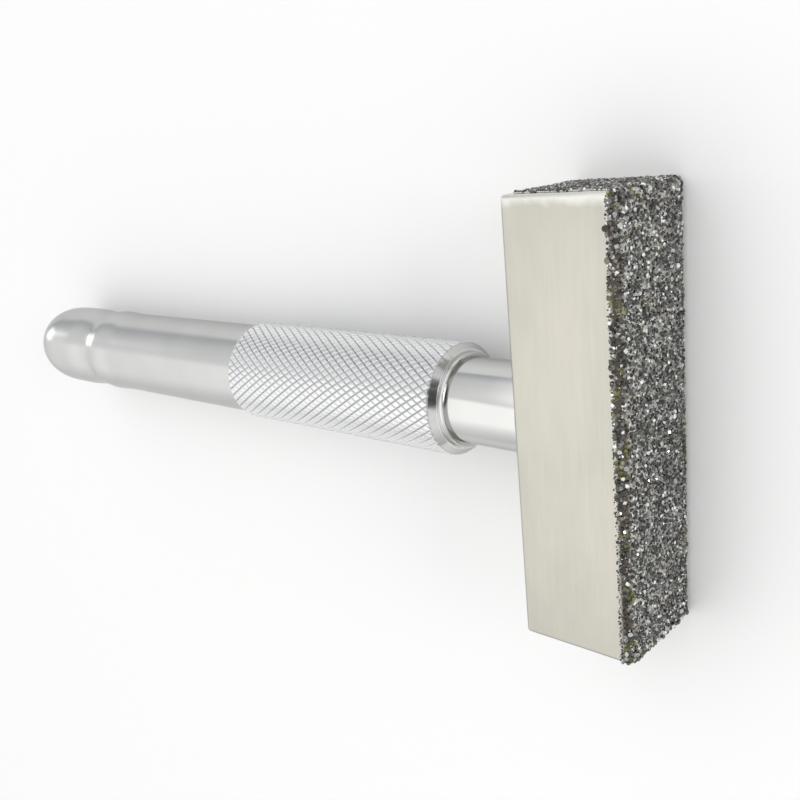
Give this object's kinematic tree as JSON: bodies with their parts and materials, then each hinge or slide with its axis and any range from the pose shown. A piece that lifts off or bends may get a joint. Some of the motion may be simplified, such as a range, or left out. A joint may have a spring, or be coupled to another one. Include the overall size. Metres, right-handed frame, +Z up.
{
  "type": "diamond wheel dresser",
  "caption": "T-shaped hand dresser for grinding wheels: a square plated bar with diamond grit on its front and ends, on a knurled round handle that unscrews.",
  "frame": {"origin": "centre of the working face, where the handle's axis leaves it", "axes": "+X out of the working face along the handle's axis, +Y along the head, +Z up with the tool lying on its side"},
  "size_m": [0.1115, 0.0452, 0.0126],
  "materials": {
    "nickel_plate": "satin nickel plate on steel, warm light grey",
    "diamond_grit": "coarse diamond grains held in a plated nickel layer",
    "stud_steel": "bright turned steel thread",
    "aluminium": "fine turned and polished, diamond knurl on the grip"
  },
  "bodies": {
    "head": {"head_block": "nickel_plate", "diamond_coat": "diamond_grit"},
    "stud": {"stud": "stud_steel"},
    "handle": {"handle": "aluminium"}
  },
  "joints": [
    {"name": "handle_travel", "type": "slide", "parent": "head", "child": "stud", "axis": [-1, 0, 0], "range_m": [0, 0.007]},
    {"name": "handle_turn", "type": "hinge", "parent": "stud", "child": "handle", "pos_m": [-0.01228, 0, 0], "axis": [-1, 0, 0], "range_deg": [0, 2520]}
  ],
  "couplings": [
    {"joint": "handle_turn", "follows": "handle_travel", "rad_per_m": 6283.2}
  ]
}
